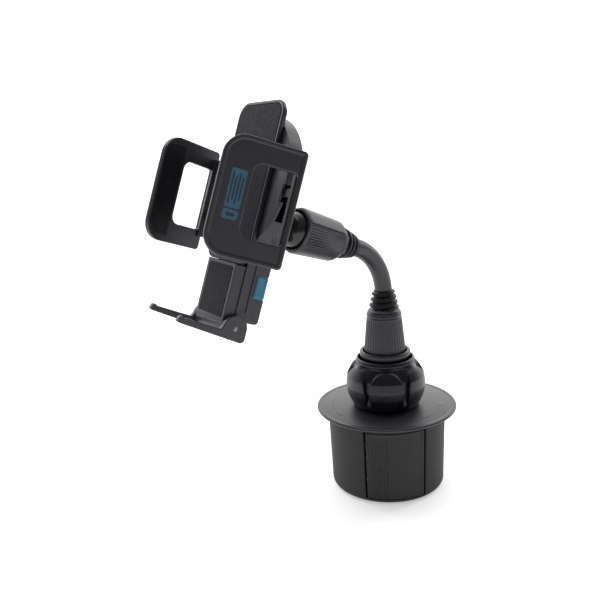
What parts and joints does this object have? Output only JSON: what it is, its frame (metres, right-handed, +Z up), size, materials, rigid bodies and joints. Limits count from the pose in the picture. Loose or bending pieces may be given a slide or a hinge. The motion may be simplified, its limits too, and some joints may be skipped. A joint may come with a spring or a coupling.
{
  "type": "cup-holder phone mount",
  "caption": "Phone cradle with geared spring arms and fold-out feet on a bendable neck, over an expanding cup-holder base turned tight with a knob.",
  "frame": {"origin": "centre of the base's flat bottom", "axes": "+Z up along the cup and the centre post; the neck leans towards -X and -Y, and the cradle faces -X, -Y and up"},
  "size_m": [0.1731, 0.1505, 0.2343],
  "materials": {
    "satin_black": "satin",
    "matt_black": "matt",
    "gloss_black": "gloss",
    "pad_grey": "matt",
    "boot_rubber": "matt",
    "steel": "plated",
    "nylon": "natural",
    "sky_blue": "satin"
  },
  "bodies": {
    "base": {"base_cup": "matt_black", "bottom_plate": "matt_black", "bottom_screw_1": "steel", "bottom_screw_2": "steel", "bottom_screw_3": "steel", "flange_plate": "satin_black", "centre_post": "steel", "post_screw": "steel", "collar_ring": "satin_black"},
    "knob": {"knob": "satin_black", "cam_spindle": "matt_black", "cam_disc": "nylon"},
    "segment_1": {"grip_segment_1": "matt_black"},
    "segment_2": {"grip_segment_2": "matt_black"},
    "segment_3": {"grip_segment_3": "matt_black"},
    "sleeve": {"lower_sleeve": "satin_black", "swivel_clip": "steel", "lower_ferrule": "steel", "lower_boot": "boot_rubber"},
    "gooseneck": {"gooseneck_jacket": "matt_black", "gooseneck_core": "steel"},
    "socket": {"upper_boot": "boot_rubber", "upper_ferrule": "steel", "ball_socket": "satin_black"},
    "nut": {"ball_nut": "satin_black"},
    "swivel_seat": {"friction_seat": "nylon"},
    "ball": {"ball_stud": "gloss_black"},
    "cradle": {"stud_retainer": "satin_black", "back_housing": "satin_black", "front_housing": "satin_black", "front_plate": "satin_black", "face_pad": "pad_grey", "housing_screw_1": "steel", "housing_screw_2": "steel", "housing_screw_3": "steel", "housing_screw_4": "steel", "pinion_shaft": "steel", "arm_spring": "steel", "button_spring_near": "steel", "button_spring_far": "steel", "pawl_spring": "steel"},
    "pinion": {"arm_pinion": "nylon"},
    "near_arm": {"arm_near": "satin_black", "arm_pad_near": "pad_grey"},
    "far_arm": {"arm_far": "satin_black", "arm_pad_far": "pad_grey"},
    "stem": {"stem_slider": "satin_black", "stem_pad": "pad_grey"},
    "feet": {"foot_near": "satin_black", "foot_far": "satin_black", "foot_pin": "steel"},
    "near_button": {"release_button_near": "sky_blue"},
    "far_button": {"release_button_far": "sky_blue"},
    "pawl": {"release_pawl": "nylon"}
  },
  "joints": [
    {"name": "knob_turn", "type": "hinge", "parent": "base", "child": "knob", "pos_m": [0, 0, 0.065], "axis": [0, 0, 1], "range_deg": [0, 60]},
    {"name": "segment_1_slide", "type": "slide", "parent": "base", "child": "segment_1", "axis": [0, -1, 0], "range_m": [0, 0.005]},
    {"name": "segment_2_slide", "type": "slide", "parent": "base", "child": "segment_2", "axis": [0.866, 0.5, 0], "range_m": [0, 0.005]},
    {"name": "segment_3_slide", "type": "slide", "parent": "base", "child": "segment_3", "axis": [-0.866, 0.5, 0], "range_m": [0, 0.005]},
    {"name": "neck_swivel", "type": "hinge", "parent": "base", "child": "sleeve", "pos_m": [0, 0, 0.09], "axis": [0, 0, 1], "continuous": true},
    {"name": "neck_bend_lower", "type": "hinge", "parent": "sleeve", "child": "gooseneck", "pos_m": [0, 0, 0.117], "axis": [0.6225, -0.7826, 0], "range_deg": [-12, 12], "deforming": ["lower_boot", "gooseneck_core"]},
    {"name": "neck_bend_upper", "type": "hinge", "parent": "gooseneck", "child": "socket", "pos_m": [-0.02476, -0.01969, 0.15554], "axis": [0.6225, -0.7826, 0], "range_deg": [-12, 12], "deforming": ["upper_boot"]},
    {"name": "nut_turn", "type": "hinge", "parent": "socket", "child": "nut", "pos_m": [-0.05093, -0.04051, 0.16745], "axis": [-0.7373, -0.5864, 0.3355], "range_deg": [0, 180]},
    {"name": "ball_swivel", "type": "hinge", "parent": "socket", "child": "swivel_seat", "pos_m": [-0.05093, -0.04051, 0.16745], "axis": [-0.7373, -0.5864, 0.3355], "continuous": true},
    {"name": "ball_tilt", "type": "hinge", "parent": "swivel_seat", "child": "ball", "pos_m": [-0.05093, -0.04051, 0.16745], "axis": [0.515, -0.8572, 0], "range_deg": [-20, 20]},
    {"name": "cradle_turn", "type": "hinge", "parent": "ball", "child": "cradle", "pos_m": [-0.05093, -0.04051, 0.16745], "axis": [-0.8044, -0.4834, 0.3453], "continuous": true},
    {"name": "near_arm_slide", "type": "slide", "parent": "cradle", "child": "near_arm", "axis": [0.515, -0.8572, 0], "range_m": [-0.005, 0.013]},
    {"name": "far_arm_slide", "type": "slide", "parent": "cradle", "child": "far_arm", "axis": [-0.515, 0.8572, 0], "range_m": [-0.005, 0.013]},
    {"name": "pinion_turn", "type": "hinge", "parent": "cradle", "child": "pinion", "pos_m": [-0.08043, -0.05824, 0.18512], "axis": [-0.8044, -0.4834, 0.3453], "range_deg": [-140, 55], "deforming": ["arm_spring"]},
    {"name": "stem_slide", "type": "slide", "parent": "cradle", "child": "stem", "axis": [-0.296, -0.1778, -0.9385], "range_m": [0, 0.02]},
    {"name": "feet_fold", "type": "hinge", "parent": "stem", "child": "feet", "pos_m": [-0.09392, -0.06634, 0.12698], "axis": [-0.515, 0.8572, 0], "range_deg": [0, 90]},
    {"name": "near_button_press", "type": "slide", "parent": "cradle", "child": "near_button", "axis": [-0.515, 0.8572, 0], "range_m": [0, 0.002], "stiffness_N_per_m": 400, "springref_m": -0.0005, "deforming": ["button_spring_near"]},
    {"name": "far_button_press", "type": "slide", "parent": "cradle", "child": "far_button", "axis": [0.515, -0.8572, 0], "range_m": [0, 0.002], "stiffness_N_per_m": 400, "springref_m": -0.0005, "deforming": ["button_spring_far"]},
    {"name": "pawl_slide", "type": "slide", "parent": "cradle", "child": "pawl", "axis": [-0.296, -0.1778, -0.9385], "range_m": [0, 0.0015], "deforming": ["pawl_spring"]}
  ],
  "couplings": [
    {"joint": "segment_1_slide", "follows": "knob_turn", "m_per_rad": 0.0047746},
    {"joint": "segment_2_slide", "follows": "knob_turn", "m_per_rad": 0.0047746},
    {"joint": "segment_3_slide", "follows": "knob_turn", "m_per_rad": 0.0047746},
    {"joint": "far_arm_slide", "follows": "near_arm_slide", "ratio": 1},
    {"joint": "pinion_turn", "follows": "near_arm_slide", "rad_per_m": -185.19},
    {"joint": "far_button_press", "follows": "near_button_press", "ratio": 1},
    {"joint": "pawl_slide", "follows": "near_button_press", "ratio": 0.75}
  ]
}
